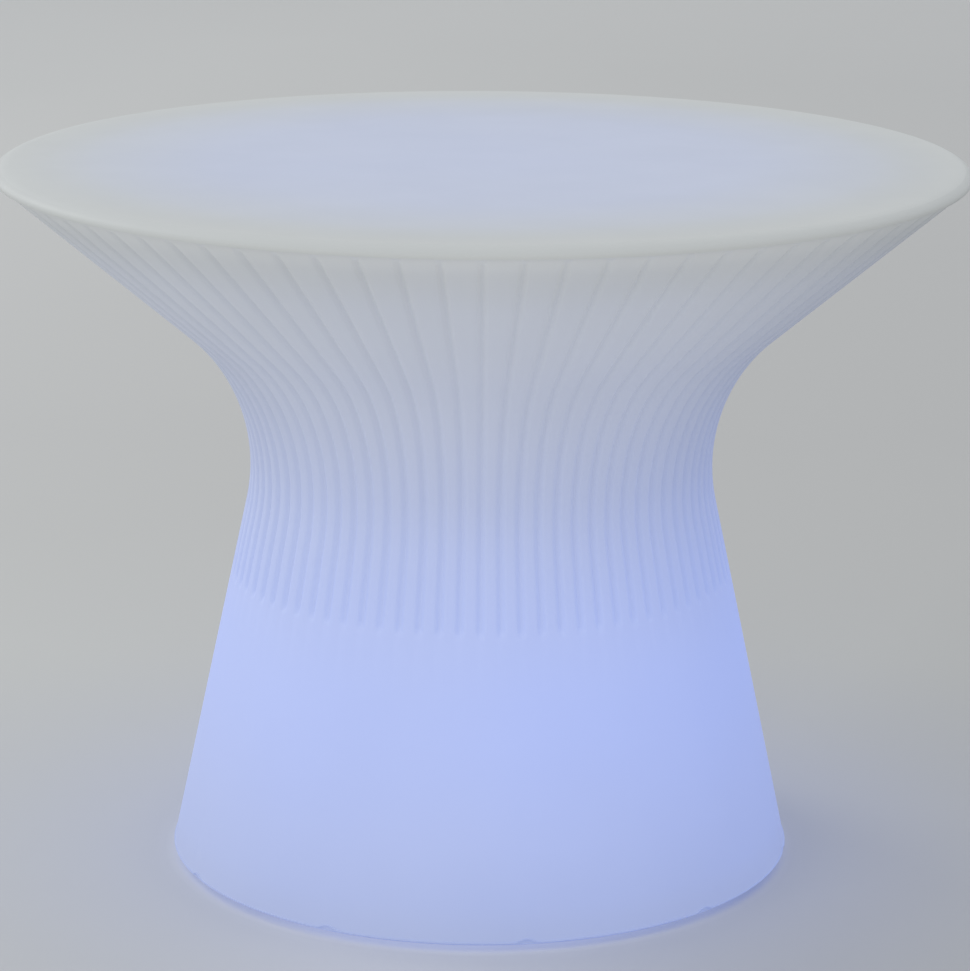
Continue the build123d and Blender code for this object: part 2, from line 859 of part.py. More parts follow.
os.makedirs("parts", exist_ok=True)
for maker in (
    body_shell,
    rubber_feet,
    unit_inserts,
    unit_gasket,
    unit_cover,
    cover_screws,
    button_bezel,
    button_nut,
    power_button,
    button_spring,
    button_switch,
    charge_socket,
    socket_pin,
    socket_nut,
    socket_cap,
    cap_hinge_pin,
    status_lens,
    battery_cells,
    battery_holders,
    battery_contacts,
    board_pillars,
    driver_board,
    board_screws,
    led_plate,
    led_chips,
    remote_receiver,
    dome_seal,
    diffuser_dome,
    dome_screws,
    board_parts,
    lead_headers,
    led_lead,
    socket_lead,
    switch_lead,
    battery_leads,
):
    write(maker.__name__, maker())
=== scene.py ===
import json
import math

import bmesh
import bpy
from mathutils import Matrix, Vector


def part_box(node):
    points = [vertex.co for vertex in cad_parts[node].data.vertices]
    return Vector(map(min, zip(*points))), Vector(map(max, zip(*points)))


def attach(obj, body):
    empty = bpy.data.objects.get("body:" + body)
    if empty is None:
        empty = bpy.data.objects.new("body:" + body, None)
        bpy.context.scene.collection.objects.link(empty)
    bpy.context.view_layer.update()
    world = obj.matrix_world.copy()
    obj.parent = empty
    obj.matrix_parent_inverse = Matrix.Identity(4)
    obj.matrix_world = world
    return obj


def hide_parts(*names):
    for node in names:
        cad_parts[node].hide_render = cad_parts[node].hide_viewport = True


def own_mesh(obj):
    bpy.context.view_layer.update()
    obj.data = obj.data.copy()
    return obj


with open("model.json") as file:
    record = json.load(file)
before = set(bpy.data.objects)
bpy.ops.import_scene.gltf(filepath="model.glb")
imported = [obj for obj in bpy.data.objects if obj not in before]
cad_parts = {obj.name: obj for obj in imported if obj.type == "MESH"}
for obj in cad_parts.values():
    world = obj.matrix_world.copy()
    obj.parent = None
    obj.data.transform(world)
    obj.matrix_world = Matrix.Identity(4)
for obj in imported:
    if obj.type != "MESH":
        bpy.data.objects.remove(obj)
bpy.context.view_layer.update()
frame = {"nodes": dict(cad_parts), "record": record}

# The looks of a round side table that lights up from inside. Metres, +Z up, the table's axis on Z and its
# front towards -Y, as in the frame.

mm = 0.001

# The moulded body, as wide and high as the frame's
body_low, body_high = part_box("body_shell")
table_radius = body_high.x
table_height = body_high.z
body_wall = 4.5 * mm
rim_height = 7.5 * mm
rim_top_round = 5 * mm
rim_top_reach = 11 * mm
rim_low_round = 2.5 * mm
crease_step = 3 * mm
flare_lean = math.radians(49.4)
waist_bend_radius = 116 * mm
cone_lean = math.radians(12.25)
base_radius = 196.5 * mm
parting_height = 6 * mm
parting_bead = 0.6 * mm
underside_height = body_low.z
edge_turn_in = 8 * mm
recess_radius = 101 * mm
recess_depth = 6 * mm
recess_edge = 1 * mm
opening_radius = 84 * mm
crease_height = table_height - rim_height
crease_radius = table_radius - crease_step
recess_ceiling = underside_height + recess_depth

# Flutes
flute_count = 80
flute_half_width = 3.6 * mm
flute_depth = 2 * mm
flute_low_height = 181.5 * mm
flute_fade_length = 7 * mm
flute_start_length = 8 * mm
flute_start_drop = flute_start_length * math.cos(flare_lean)
columns_per_flute = 12
groove_columns = 4
front_angle = -math.pi / 2
pitch = 2 * math.pi / flute_count

# Steps of the body's section, from the middle of the top outwards, down and in again
top_steps = 4
rim_top_steps = 8
rim_low_steps = 4
flute_start_steps = 3
flare_steps = 7
bend_steps = 22
flute_fade_steps = 4
cone_steps = 5
edge_turn_steps = 5
inner_bend_steps = 8

# Nicks that the mould's clamps left in the parting line
nick_count = 10
nick_turn = math.radians(8.3)
nick_half_width = 8 * mm
nick_rise = 2.4 * mm

# What counts as one place, one height and a point of the skin, and from what angle an edge stays sharp
same_place = 0.01 * mm
same_height = 0.1 * mm
near_skin = 0.5 * mm
sharp_angle = math.radians(35)

# Screws of the light unit, and the shapes that turned pieces share
screw_circle_radius = 92.5 * mm
screw_count = 6
screw_head_radius = 3.8 * mm
screw_head_height = 2.4 * mm
screw_head_round = 1.1 * mm
screw_shank_radius = 2 * mm
cross_reach = 1.9 * mm
cross_half_width = 0.45 * mm
cross_depth = 1.2 * mm
cross_taper = 0.7
thread_pitch = 1 * mm
thread_depth = 0.3 * mm
edge_round = 0.4 * mm
corner_steps = 3
dish_steps = 6

# Feet
foot_count = 4
foot_circle_radius = 168 * mm
foot_radius = 13 * mm
foot_round = 0.8 * mm
foot_hollow_radius = 7.5 * mm
foot_hollow_depth = 0.8 * mm
foot_groove_radius = 10.2 * mm
foot_groove_half_width = 0.6 * mm
foot_groove_depth = 0.6 * mm
foot_stem_radius = 4.5 * mm

# Power button, its bezel and its spring
well_roof_low = 29 * mm
button_x = -18 * mm
button_radius = 5.1 * mm
button_dish_radius = 4.5 * mm
button_dish_depth = 0.5 * mm
button_shoulder_radius = 6.3 * mm
button_shoulder_low = 29.7 * mm
button_shoulder_high = 31.2 * mm
button_stem_radius = 2.4 * mm
bezel_opening_radius = 5.3 * mm
bezel_flange_radius = 9 * mm
bezel_flange_round = 1.1 * mm
bezel_tube_radius = 7.9 * mm
bezel_bore_radius = 6.5 * mm
bezel_lip_top = 29.5 * mm
spring_radius = 4.3 * mm
spring_wire_radius = 0.35 * mm
spring_wire_sides = 8
spring_turns = 5
spring_end_turn = 0.35
spring_steps_per_turn = 20

# Charge light and the socket's cap
lens_y = 24 * mm
lens_head_radius = 3.4 * mm
lens_radius = 2.5 * mm
lens_dome = 0.6 * mm
cap_tab_x = 10.5 * mm
cap_tab_low = 24.8 * mm
cap_grip_spacing = 1 * mm
cap_grip_length = 5 * mm
cap_grip_radius = 0.3 * mm
cap_grip_sides = 12

# Camera, with its sensor in millimetres and the photograph's longer side in pixels
camera_distance = 2.25
camera_elevation = math.radians(14.79)
camera_roll = math.radians(0.28)
camera_target_height = 0.223
focal_pixels = 3556
picture_pixels = 971
sensor_width = 36
shift_right_pixels = 3.85
shift_up_pixels = 20.64

# The room: its even light, its two windows and its floor
room_colour = (0.95, 0.97, 1.0)
room_strength = 0.795
daylight_colour = (1.0, 0.99, 0.96)
window_place = Vector((-1.9, -1.9, 2.3))
window_size = 1.8
window_power = 11
far_window_place = Vector((-2.6, 2.0, 2.2))
far_window_size = 1.6
far_window_power = 20
light_aim = Vector((0, 0, 0.2))
floor_half_width = 14


def oval(centre, reach, rise, start, end, steps):
    """Points on an upright ellipse in the section's plane, from one angle to another."""
    points = []
    for step in range(steps + 1):
        angle = start + (end - start) * step / steps
        points.append((centre[0] + reach * math.cos(angle), centre[1] + rise * math.sin(angle)))
    return points


def arc(centre, radius, start, end, steps):
    """Points on a circle in the section's plane, from one angle to another."""
    return oval(centre, radius, radius, start, end, steps)


def between(start, end, steps):
    """Points on a straight line after its start, up to and with its end."""
    return [
        (start[0] + (end[0] - start[0]) * step / steps, start[1] + (end[1] - start[1]) * step / steps)
        for step in range(1, steps + 1)
    ]


def cone_point(height):
    """The (radius, height) point of the straight cone at a height."""
    return base_radius - math.tan(cone_lean) * (height - parting_height), height


def flare_point(height):
    """The (radius, height) point of the straight flare at a height."""
    return crease_radius - math.tan(flare_lean) * (crease_height - height), height


def waist_bend(inset):
    """The centre and radius of the bend that joins cone and flare, inset from the skin."""
    cone_slope = math.tan(cone_lean)
    flare_slope = math.tan(flare_lean)
    cone_run = base_radius - inset / math.cos(cone_lean) + cone_slope * parting_height
    flare_run = crease_radius - inset / math.cos(flare_lean) - flare_slope * crease_height
    height = (cone_run - flare_run) / (cone_slope + flare_slope)
    corner = (cone_run - cone_slope * height, height)
    bend = waist_bend_radius + inset
    tangent = bend * math.tan((cone_lean + flare_lean) / 2)
    start = (corner[0] + tangent * math.sin(cone_lean), corner[1] - tangent * math.cos(cone_lean))
    return (start[0] + bend * math.cos(cone_lean), start[1] + bend * math.sin(cone_lean)), bend


def bend_points(inset, steps):
    """Points up the waist's bend, from the cone's upper end to the flare's lower end."""
    centre, bend = waist_bend(inset)
    return arc(centre, bend, math.pi + cone_lean, math.pi - flare_lean, steps)


def skin_at(height):
    """The plain side's radius at a height, and how far its outward normal leans up there."""
    (centre_radius, centre_height), bend = waist_bend(0)
    if height <= centre_height - bend * math.sin(cone_lean):
        return cone_point(height)[0], cone_lean
    if height >= centre_height + bend * math.sin(flare_lean):
        return flare_point(height)[0], -flare_lean
    lean = math.asin((centre_height - height) / bend)
    return centre_radius - bend * math.cos(lean), lean


def outer_section():
    """(radius, height) points over the top, round the rim and down the side to the parting line."""
    middle = (0, table_height)
    top_end = (table_radius - rim_top_reach, table_height)
    rim_centre = (table_radius - rim_top_reach, table_height - rim_top_round)
    low_centre = (table_radius - rim_low_round, crease_height + rim_low_round)
    crease = flare_point(crease_height)
    flute_start = flare_point(crease_height - flute_start_drop)
    bend = bend_points(0, bend_steps)[::-1]
    fade_start = cone_point(flute_low_height + flute_fade_length)
    flute_end = cone_point(flute_low_height)
    return [
        middle,
        *between(middle, top_end, top_steps),
        *oval(rim_centre, rim_top_reach, rim_top_round, math.pi / 2, 0, rim_top_steps)[1:],
        *arc(low_centre, rim_low_round, 0, -math.pi / 2, rim_low_steps),
        crease,
        *between(crease, flute_start, flute_start_steps),
        *between(flute_start, bend[0], flare_steps),
        *bend[1:],
        fade_start,
        *between(fade_start, flute_end, flute_fade_steps),
        *between(flute_end, (base_radius, parting_height), cone_steps),
    ]


def underside_section():
    """Points of the parting line's bead, the turned-in edge, the recess and the opening's edge."""
    bead_radius = base_radius + parting_bead
    bead_low = parting_height - parting_bead
    edge_centre = (base_radius - edge_turn_in, bead_low)
    edge_drop = bead_low - underside_height
    return [
        (bead_radius, parting_height),
        (bead_radius, bead_low),
        *oval(edge_centre, edge_turn_in, edge_drop, 0, -math.pi / 2, edge_turn_steps),
        (recess_radius + recess_edge, underside_height),
        (recess_radius, underside_height + recess_edge),
        (recess_radius, recess_ceiling),
        (opening_radius, recess_ceiling),
    ]


def inner_section():
    """Points of the shell's inside, from the opening's edge up to the middle under the top."""
    inner_floor = underside_height + body_wall
    ceiling = table_height - body_wall
    cone_foot = base_radius - body_wall / math.cos(cone_lean)
    flare_top = crease_radius - body_wall / math.cos(flare_lean)
    return [
        (opening_radius, recess_ceiling + body_wall),
        (recess_radius + body_wall, recess_ceiling + body_wall),
        (recess_radius + body_wall, inner_floor),
        (cone_foot - body_wall, inner_floor),
        (cone_foot, inner_floor + body_wall),
        *bend_points(body_wall, inner_bend_steps),
        (flare_top - body_wall, crease_height - body_wall),
        (flare_top - body_wall, ceiling),
        (0, ceiling),
    ]


def section_line(bm, section):
    """A section's (radius, height) points as vertices joined by edges."""
    verts = [bm.verts.new((radius, 0, height)) for radius, height in section]
    edges = [bm.edges.new(pair) for pair in zip(verts, verts[1:])]
    return verts + edges


def spin_round(bm, geom, angle, steps, **choices):
    """Spins geometry about the vertical axis."""
    return bmesh.ops.spin(bm, geom=geom, cent=(0, 0, 0), axis=(0, 0, 1), angle=angle, steps=steps, **choices)


def turn_about(bm, angle):
    """Turns everything in a bmesh about the vertical axis."""
    bmesh.ops.rotate(bm, verts=bm.verts, cent=(0, 0, 0), matrix=Matrix.Rotation(angle, 3, "Z"))


def move_sideways(bm, x, y):
    """Moves everything in a bmesh sideways."""
    bmesh.ops.translate(bm, vec=(x, y, 0), verts=bm.verts)


def close_seams(bm):
    """Merges what lies in one place and turns the faces outwards."""
    bmesh.ops.remove_doubles(bm, verts=bm.verts, dist=same_place)
    bmesh.ops.recalc_face_normals(bm, faces=bm.faces)


def one_pitch(section):
    """The section turned through one flute's pitch, with the flute's middle at the front."""
    bm = bmesh.new()
    line = section_line(bm, section)
    turn_about(bm, front_angle - pitch / 2)
    spin_round(bm, line, pitch, columns_per_flute, use_merge=False)
    return bm


def repeat_round(bm, count):
    """Repeats a shape all the way round and closes the seams between the copies."""
    whole = bm.verts[:] + bm.edges[:] + bm.faces[:]
    spin_round(bm, whole, 2 * math.pi * (count - 1) / count, count - 1, use_duplicate=True)
    close_seams(bm)


def turned_piece(section, steps):
    """A solid of revolution about the vertical axis, from the points of its section."""
    bm = bmesh.new()
    spin_round(bm, section_line(bm, section), 2 * math.pi, steps, use_merge=True)
    close_seams(bm)
    return bm


def finished(name, bm):
    """Puts a bmesh into a smooth-shaded object that keeps its sharp edges."""
    mesh = bpy.data.meshes.new(name)
    bm.to_mesh(mesh)
    bm.free()
    mesh.shade_smooth()
    mesh.set_sharp_from_angle(angle=sharp_angle)
    piece = bpy.data.objects.new(name, mesh)
    bpy.context.scene.collection.objects.link(piece)
    return piece


def carried(name, bm, body_name, slot):
    """A visible piece with the finish of its slot, carried by a body."""
    piece = finished(name, bm)
    piece.data.materials.append(finish_of[slot])
    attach(piece, body_name)
    return piece


def stand_for(name, bm, body_name, node):
    """A visible piece that stands for a node and has its slot."""
    piece = carried(name, bm, body_name, slot_of[node])
    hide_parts(node)
    return piece


def smooth_step(value):
    """A value held between 0 and 1, with a soft start and end."""
    value = min(1, max(0, value))
    return value * value * (3 - 2 * value)


def fluted_place(point, groove_share):
    """Where a point of the plain side goes when its flute is pressed in, and how deep in the flute it is."""
    radius = math.hypot(point.x, point.y)
    turn = (math.atan2(point.y, point.x) - front_angle) / pitch
    centre = round(turn)
    column = round((turn - centre) * columns_per_flute)
    side = 1 if column > 0 else -1
    column = abs(column)
    half_pitch = pitch * radius / 2
    if column <= groove_columns:
        across = flute_half_width * column / groove_columns
    else:
        rib_share = (column - groove_columns) / (columns_per_flute / 2 - groove_columns)
        across = flute_half_width + (half_pitch - flute_half_width) * rib_share
    depth_share = (1 + math.cos(math.pi * min(1, across / flute_half_width))) / 2 * groove_share
    angle = front_angle + centre * pitch + side * across / radius
    return angle, radius, depth_share


def press_flute(bm):
    """Presses one flute into its pitch, and keeps each point's depth as an attribute for the finish."""
    groove = bm.verts.layers.float.new("groove")
    for vertex in bm.verts:
        point = vertex.co
        if not flute_low_height - same_height <= point.z <= crease_height + same_height:
            continue
        skin_radius, lean = skin_at(point.z)
        if abs(math.hypot(point.x, point.y) - skin_radius) > near_skin:
            continue
        low_share = smooth_step((point.z - flute_low_height) / flute_fade_length)
        high_share = smooth_step((crease_height - point.z) / flute_start_drop)
        angle, radius, share = fluted_place(point, low_share * high_share)
        radius -= math.cos(lean) * flute_depth * share
        height = point.z - math.sin(lean) * flute_depth * share
        vertex.co = (radius * math.cos(angle), radius * math.sin(angle), height)
        vertex[groove] = share


def press_nicks(bm):
    """Lifts the parting line's bead a little where the mould's clamps nicked it."""
    step = 2 * math.pi / nick_count
    for vertex in bm.verts:
        point = vertex.co
        radius = math.hypot(point.x, point.y)
        off_bead = abs(point.z - parting_height) > parting_bead + same_height
        if off_bead or radius < base_radius - near_skin:
            continue
        turn = (math.atan2(point.y, point.x) - front_angle - nick_turn) / step
        away = abs(turn - round(turn)) * step * radius
        vertex.co.z += nick_rise * smooth_step(1 - away / nick_half_width)


def table_body():
    """The one-piece body: flat top, bullnose rim, fluted sides, parting line, recess and inner wall."""
    bm = one_pitch(outer_section() + underside_section() + inner_section())
    press_flute(bm)
    repeat_round(bm, flute_count)
    press_nicks(bm)
    stand_for("table_body", bm, "table", "body_shell")


def low_corner(radius, height, size):
    """Points out and up round the lower corner of a section."""
    return arc((radius - size, height + size), size, -math.pi / 2, 0, corner_steps)


def high_corner(radius, height, size):
    """Points up and in round the upper corner of a section."""
    return arc((radius - size, height - size), size, 0, math.pi / 2, corner_steps)


def ridges(radius, low, high):
    """Points of a threaded stretch from one height up to another, as ridges."""
    count = round((high - low) / thread_pitch)
    points = []
    for ridge in range(count):
        points.append((radius, low + (high - low) * ridge / count))
        points.append((radius - thread_depth, low + (high - low) * (ridge + 0.5) / count))
    return points + [(radius, high)]


def dished(radius, low, depth):
    """Points from the axis out to a radius over a shallow dish or, with a negative depth, a dome."""
    return [
        (radius * step / dish_steps, low + depth * (1 - (step / dish_steps) ** 2))
        for step in range(dish_steps + 1)
    ]


def cross_mouth(bm, height):
    """The edges round a cross-shaped mouth at a height, made arm by arm."""
    arm = (
        (cross_half_width, -cross_half_width, height),
        (cross_reach, -cross_half_width, height),
        (cross_reach, cross_half_width, height),
    )
    corners = []
    for quarter in range(4):
        turn = Matrix.Rotation(quarter * math.pi / 2, 3, "Z")
        corners += [bm.verts.new(turn @ Vector(corner)) for corner in arm]
    return [bm.edges.new(pair) for pair in zip(corners, corners[1:] + corners[:1])]


def cross_recess(bm, face_radius, height):
    """Closes a screw's head inside a circle of its face, with a cross-shaped recess in the middle."""
    rim = [
        edge
        for edge in bm.edges
        if all(
            abs(vertex.co.z - height) < same_place and vertex.co.xy.length < face_radius + same_place
            for vertex in edge.verts
        )
    ]
    mouth = cross_mouth(bm, height)
    bmesh.ops.triangle_fill(bm, use_beauty=True, edges=rim + mouth)
    walls = bmesh.ops.extrude_edge_only(bm, edges=mouth)["geom"]
    floor_verts = [item for item in walls if isinstance(item, bmesh.types.BMVert)]
    floor_edges = [
        item
        for item in walls
        if isinstance(item, bmesh.types.BMEdge) and all(vertex in floor_verts for vertex in item.verts)
    ]
    bmesh.ops.scale(bm, vec=(cross_taper, cross_taper, 1), verts=floor_verts)
    bmesh.ops.translate(bm, vec=(0, 0, cross_depth), verts=floor_verts)
    bmesh.ops.edgeloop_fill(bm, edges=floor_edges)


def cover_screws():
    """The light unit's screws: round heads with a cross recess, and threaded shanks."""
    low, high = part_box("cover_screws")
    seat = low.z + screw_head_height
    bm = turned_piece(
        [
            *low_corner(screw_head_radius, low.z, screw_head_round),
            (screw_head_radius, seat),
            *ridges(screw_shank_radius, seat, high.z - edge_round),
            (screw_shank_radius - edge_round, high.z),
            (0, high.z),
        ],
        steps=24,
    )
    cross_recess(bm, screw_head_radius - screw_head_round, low.z)
    move_sideways(bm, screw_circle_radius, 0)
    repeat_round(bm, screw_count)
    stand_for("unit_screws", bm, "table", "cover_screws")


def rubber_feet():
    """The push-in feet: rounded pads with a hollow and a groove below, and a stem up into the body."""
    low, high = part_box("rubber_feet")
    groove = foot_groove_radius
    bm = turned_piece(
        [
            (0, low.z + foot_hollow_depth),
            (foot_hollow_radius, low.z + foot_hollow_depth),
            (foot_hollow_radius + foot_hollow_depth, low.z),
            (groove - foot_groove_half_width, low.z),
            (groove - foot_groove_half_width / 2, low.z + foot_groove_depth),
            (groove + foot_groove_half_width / 2, low.z + foot_groove_depth),
            (groove + foot_groove_half_width, low.z),
            *low_corner(foot_radius, low.z, foot_round),
            *high_corner(foot_radius, underside_height, edge_round),
            (foot_stem_radius, underside_height),
            (foot_stem_radius, high.z - foot_round),
            (foot_stem_radius - foot_round, high.z),
            (0, high.z),
        ],
        steps=48,
    )
    move_sideways(bm, foot_circle_radius, 0)
    turn_about(bm, math.pi / foot_count)
    repeat_round(bm, foot_count)
    stand_for("feet", bm, "table", "rubber_feet")


def power_button():
    """The button: a dished face with a rounded edge, the shoulder that the bezel keeps, and the stem."""
    low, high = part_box("power_button")
    bm = turned_piece(
        [
            *dished(button_dish_radius, low.z, button_dish_depth),
            *low_corner(button_radius, low.z, edge_round),
            (button_radius, button_shoulder_low),
            (button_shoulder_radius, button_shoulder_low),
            *high_corner(button_shoulder_radius, button_shoulder_high, edge_round),
            (button_stem_radius, button_shoulder_high),
            (button_stem_radius, high.z - edge_round),
            (button_stem_radius - edge_round, high.z),
            (0, high.z),
        ],
        steps=48,
    )
    move_sideways(bm, button_x, 0)
    stand_for("button", bm, "button", "power_button")


def button_bezel():
    """The bezel round the button: a rounded bright flange below and a threaded tube above."""
    low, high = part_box("button_bezel")
    opening_edge = (bezel_opening_radius, low.z + edge_round)
    bm = turned_piece(
        [
            opening_edge,
            (bezel_opening_radius + edge_round, low.z),
            *low_corner(bezel_flange_radius, low.z, bezel_flange_round),
            (bezel_flange_radius, well_roof_low),
            *ridges(bezel_tube_radius, well_roof_low, high.z),
            (bezel_bore_radius, high.z),
            (bezel_bore_radius, bezel_lip_top),
            (bezel_opening_radius, bezel_lip_top),
            opening_edge,
        ],
        steps=64,
    )
    move_sideways(bm, button_x, 0)
    stand_for("bezel", bm, "table", "button_bezel")


def button_spring():
    """The button's return spring: a coil of round wire with a mesh of its own."""
    low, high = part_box("button_spring")
    bm = bmesh.new()
    upright = Matrix.Rotation(math.pi / 2, 4, "X")
    start = Matrix.Translation((spring_radius, 0, low.z + spring_wire_radius)) @ upright
    bmesh.ops.create_circle(
        bm, cap_ends=False, radius=spring_wire_radius, segments=spring_wire_sides, matrix=start
    )
    wire = bm.verts[:] + bm.edges[:]
    ends = [bm.edges[:]]
    rise = high.z - low.z - 2 * spring_wire_radius
    for turns, climb in ((spring_end_turn, 0), (spring_turns, rise), (spring_end_turn, 0)):
        steps = round(turns * spring_steps_per_turn)
        made = spin_round(bm, wire, turns * 2 * math.pi, steps, dvec=(0, 0, climb / steps), use_merge=False)
        wire = made["geom_last"]
    ends.append([item for item in wire if isinstance(item, bmesh.types.BMEdge)])
    for end in ends:
        bmesh.ops.edgeloop_fill(bm, edges=end)
    bmesh.ops.recalc_face_normals(bm, faces=bm.faces)
    move_sideways(bm, button_x, 0)
    spring = stand_for("spring", bm, "table", "button_spring")
    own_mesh(spring)


def charge_lens():
    """The charge light's rod, with a domed head."""
    low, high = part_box("status_lens")
    bm = turned_piece(
        [
            *dished(lens_head_radius, low.z + lens_dome, -lens_dome),
            (lens_head_radius, well_roof_low),
            (lens_radius, well_roof_low),
            (lens_radius, high.z - edge_round),
            (lens_radius - edge_round, high.z),
            (0, high.z),
        ],
        steps=32,
    )
    move_sideways(bm, 0, lens_y)
    stand_for("charge_lens", bm, "table", "status_lens")


def cap_grips():
    """Three small round bars across the finger tab of the socket's cap."""
    bm = bmesh.new()
    lying = Matrix.Rotation(math.pi / 2, 4, "X")
    for row in (-1, 0, 1):
        place = Matrix.Translation((cap_tab_x + row * cap_grip_spacing, 0, cap_tab_low))
        bmesh.ops.create_cone(
            bm, cap_ends=True, segments=cap_grip_sides, radius1=cap_grip_radius, radius2=cap_grip_radius,
            depth=cap_grip_length, matrix=place @ lying,
        )
    end_edges = [edge for edge in bm.edges if edge.calc_face_angle(0) > sharp_angle]
    bmesh.ops.bevel(
        bm, geom=end_edges, offset=cap_grip_radius / 2, offset_type="OFFSET", segments=2, profile=0.5,
        affect="EDGES", material=-1,
    )
    carried("cap_grips", bm, "cap", slot_of["socket_cap"])


class Shading:
    """A material's node tree, with short ways to add nodes and join them."""

    def __init__(self, name):
        self.material = bpy.data.materials.new(name)
        self.material.use_nodes = True
        self.tree = self.material.node_tree
        self.shader = self.tree.nodes["Principled BSDF"]

    def node(self, kind, **settings):
        """Adds a node with its settings."""
        made = self.tree.nodes.new(kind)
        for name, value in settings.items():
            setattr(made, name, value)
        return made

    def link(self, output, target):
        """Joins an output to an input."""
        self.tree.links.new(output, target)


def new_group(name, inputs, outputs):
    """An empty shader node group with named sockets, given as (name, kind, default)."""
    group = bpy.data.node_groups.new(name, "ShaderNodeTree")
    for label, kind, default in inputs:
        socket = group.interface.new_socket(label, in_out="INPUT", socket_type=kind)
        socket.default_value = default
    for label, kind in outputs:
        group.interface.new_socket(label, in_out="OUTPUT", socket_type=kind)
    return group, group.nodes.new("NodeGroupInput"), group.nodes.new("NodeGroupOutput")


def feed(tree, socket, value):
    """Gives a socket a number, a colour or another socket's output."""
    if isinstance(value, (int, float)):
        socket.default_value = value
    elif isinstance(value, tuple):
        socket.default_value = (*value, 1)
    else:
        tree.links.new(value, socket)


def maths(tree, operation, *values):
    """A Math node fed by outputs or plain numbers, given back as its output."""
    made = tree.nodes.new("ShaderNodeMath")
    made.operation = operation
    for socket, value in zip(made.inputs, values):
        feed(tree, socket, value)
    return made.outputs[0]


def noise(tree, vector, scale, detail):
    """A Noise Texture's value on a vector, at a scale given as a number or an output."""
    made = tree.nodes.new("ShaderNodeTexNoise")
    made.inputs["Detail"].default_value = detail
    feed(tree, made.inputs["Vector"], vector)
    feed(tree, made.inputs["Scale"], scale)
    return made.outputs["Fac"]


def ramp(tree, factor, stops, smooth=True):
    """A Color Ramp through (place, colour) stops, where a colour may be one number."""
    made = tree.nodes.new("ShaderNodeValToRGB")
    made.color_ramp.interpolation = "B_SPLINE" if smooth else "LINEAR"
    elements = made.color_ramp.elements
    while len(elements) < len(stops):
        elements.new(0.5)
    for element, (place, colour) in zip(elements, stops):
        element.position = place
        rgb = (colour,) * 3 if isinstance(colour, (int, float)) else colour
        element.color = (*rgb, 1)
    feed(tree, made.inputs["Fac"], factor)
    return made.outputs["Color"]


def mixed(tree, factor, first, second, blend="MIX"):
    """A colour Mix node fed by outputs, numbers or colours, given back as its result."""
    made = tree.nodes.new("ShaderNodeMix")
    made.data_type = "RGBA"
    made.blend_type = blend
    # A Mix node lists its colour sockets after those for numbers and vectors
    for socket, value in ((made.inputs[0], factor), (made.inputs[6], first), (made.inputs[7], second)):
        feed(tree, socket, value)
    return made.outputs[2]


def multiplied(tree, first, second):
    """Two colours multiplied."""
    return mixed(tree, 1.0, first, second, "MULTIPLY")


def added(tree, first, second):
    """Two colours added."""
    return mixed(tree, 1.0, first, second, "ADD")


def object_point(tree):
    """The Object coordinates of the point that is shaded."""
    return tree.nodes.new("ShaderNodeTexCoord").outputs["Object"]


def vector_maths(tree, operation, vector):
    """A Vector Math node fed by a vector."""
    made = tree.nodes.new("ShaderNodeVectorMath")
    made.operation = operation
    feed(tree, made.inputs[0], vector)
    return made


def table_place(tree):
    """The shaded point's X, Y and Z outputs by name, and its distance from the table's axis."""
    parts = tree.nodes.new("ShaderNodeSeparateXYZ")
    feed(tree, parts.inputs["Vector"], object_point(tree))
    flat = tree.nodes.new("ShaderNodeCombineXYZ")
    for name in ("X", "Y"):
        feed(tree, flat.inputs[name], parts.outputs[name])
    return parts.outputs, vector_maths(tree, "LENGTH", flat.outputs["Vector"]).outputs["Value"]


# Grain, patches, specks and scratches that the finishes share. Stops are (value of the noise, strength),
# and a scratch is lighter than its piece by the gain and the lift.
grain_height = 0.1 * mm
broad_grain_share = 0.04
patch_stops = [(0.35, 0.0), (0.7, 1.0)]
speck_stops = [(0.62, 0.0), (0.75, 0.35)]
scratch_stops = [(0.66, 0.0), (0.74, 1.0)]
scratched_place_stops = [(0.50, 0.0), (0.66, 1.0)]
scratched_place_scale = 22
scratch_stretch = (1.0, 16.0, 9.0)
scratch_scale = 70.0
scratch_amount = 0.3
scratch_gain = 1.25
scratch_lift = 0.02


def grain_group():
    """Fine moulded grain: a height for the bump and a roughness that wanders between two values."""
    group, given, out = new_group(
        "moulded_grain",
        [
            ("Scale", "NodeSocketFloat", 900.0),
            ("Low Roughness", "NodeSocketFloat", 0.4),
            ("High Roughness", "NodeSocketFloat", 0.5),
        ],
        [("Height", "NodeSocketFloat"), ("Roughness", "NodeSocketFloat")],
    )
    point = object_point(group)
    fine = noise(group, point, given.outputs["Scale"], detail=3)
    broad_scale = maths(group, "MULTIPLY", given.outputs["Scale"], broad_grain_share)
    broad = noise(group, point, broad_scale, detail=2)
    span = maths(group, "SUBTRACT", given.outputs["High Roughness"], given.outputs["Low Roughness"])
    wander = maths(group, "MULTIPLY_ADD", broad, span, given.outputs["Low Roughness"])
    feed(group, out.inputs["Height"], fine)
    feed(group, out.inputs["Roughness"], wander)
    return group


